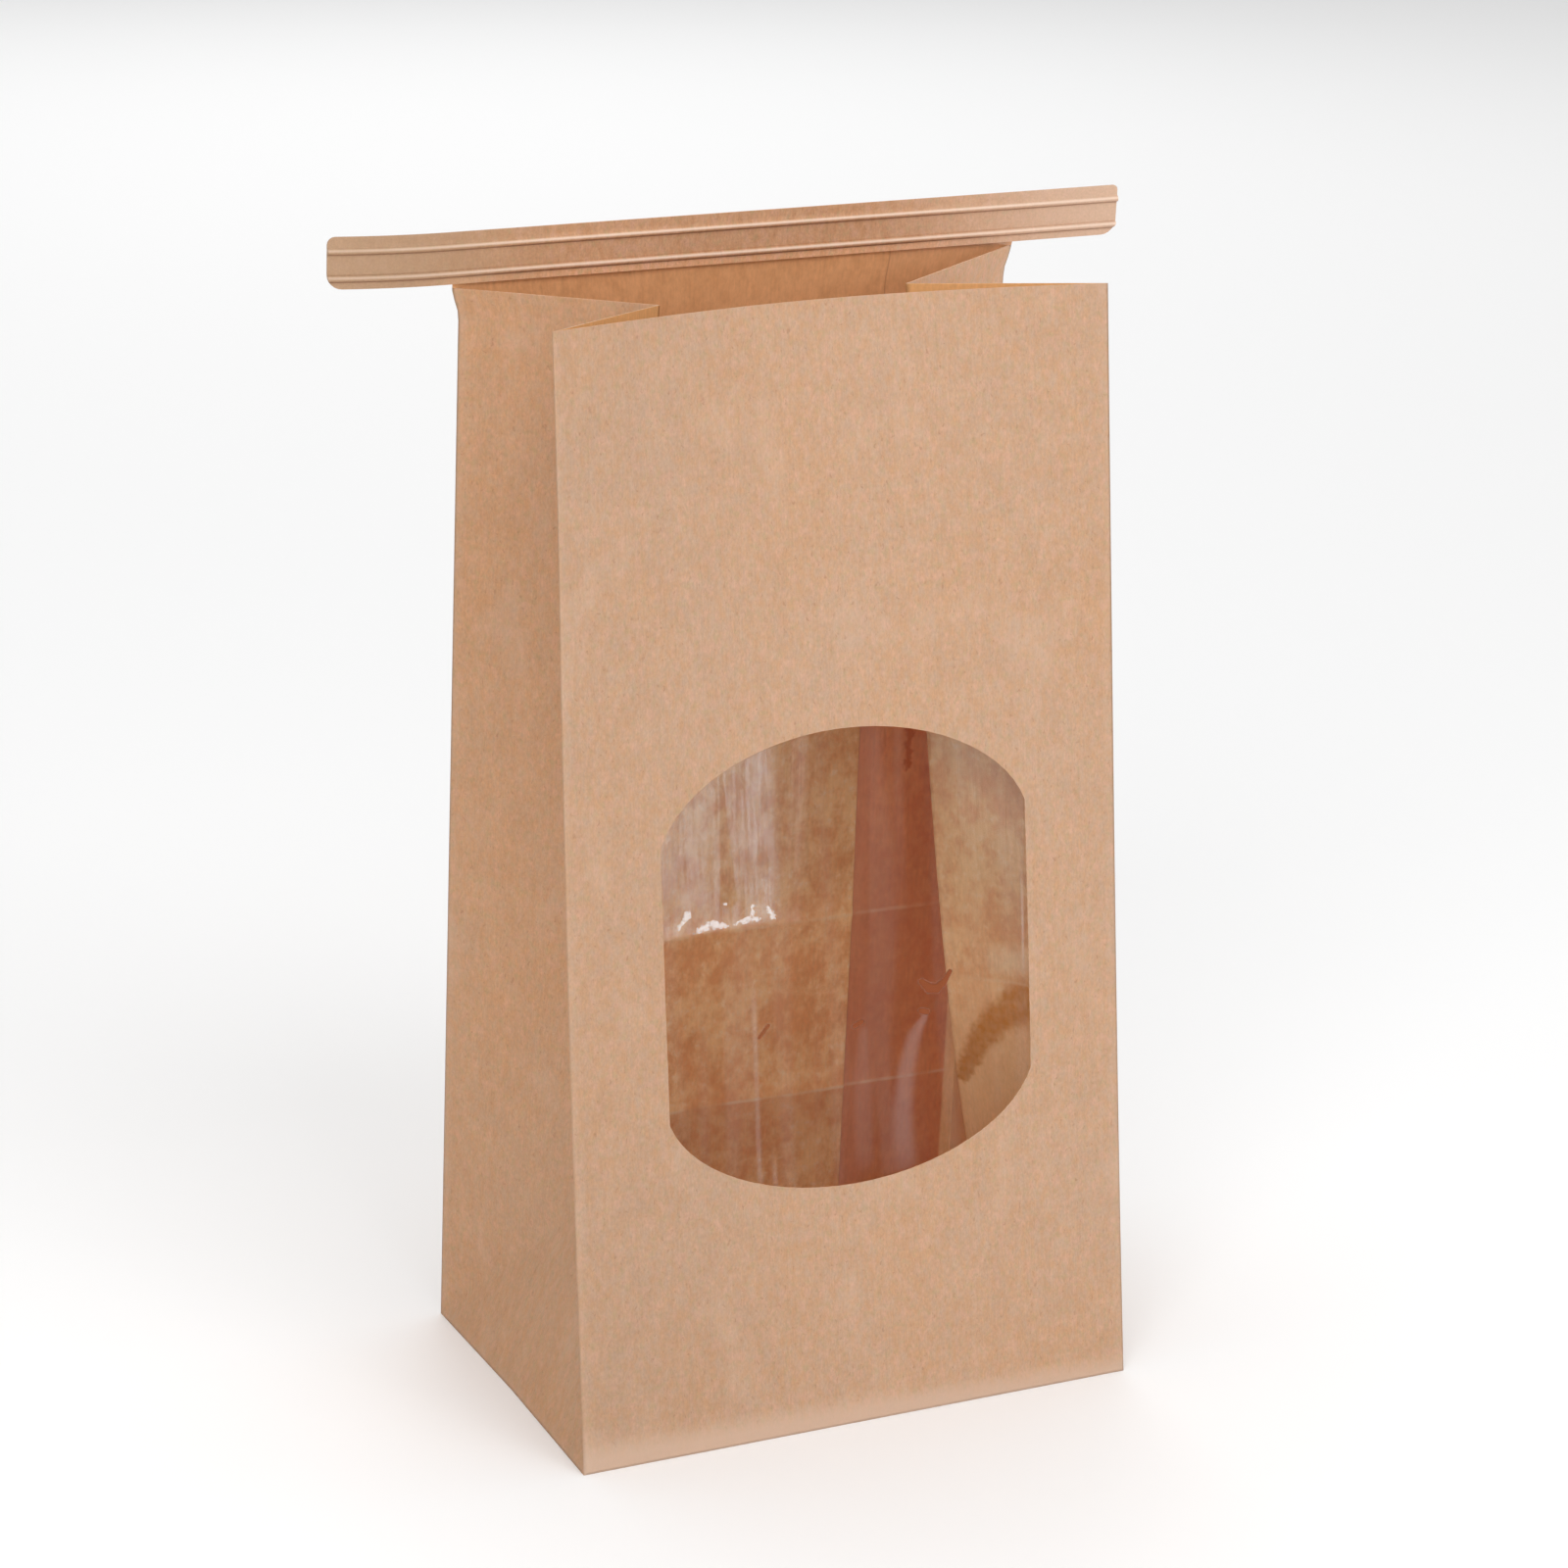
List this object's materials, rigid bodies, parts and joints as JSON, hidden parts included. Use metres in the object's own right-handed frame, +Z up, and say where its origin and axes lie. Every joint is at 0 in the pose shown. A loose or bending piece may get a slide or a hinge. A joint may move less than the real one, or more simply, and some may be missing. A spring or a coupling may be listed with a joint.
{
  "type": "paper bread bag",
  "caption": "Open kraft paper bread bag with gusseted sides, a folded flat bottom, a film window in the front panel and a paper-covered wire tie along the back lip.",
  "frame": {"origin": "middle of the base, on the surface that the bag stands on", "axes": "-Y is the front, with the window; +X is right seen from the front; +Z is up, through the open mouth"},
  "size_m": [0.171, 0.0804, 0.2342],
  "materials": {
    "kraft_paper": "unprinted brown kraft, matte, fibres along the height, lined inside",
    "clear_film": "clear thin film, glossy, slightly crinkled",
    "tie_paper": "brown kraft strip over flat-lying wires, matte"
  },
  "bodies": {
    "root": {"bag_paper": "kraft_paper", "window_film": "clear_film", "tin_tie": "tie_paper"}
  },
  "joints": []
}
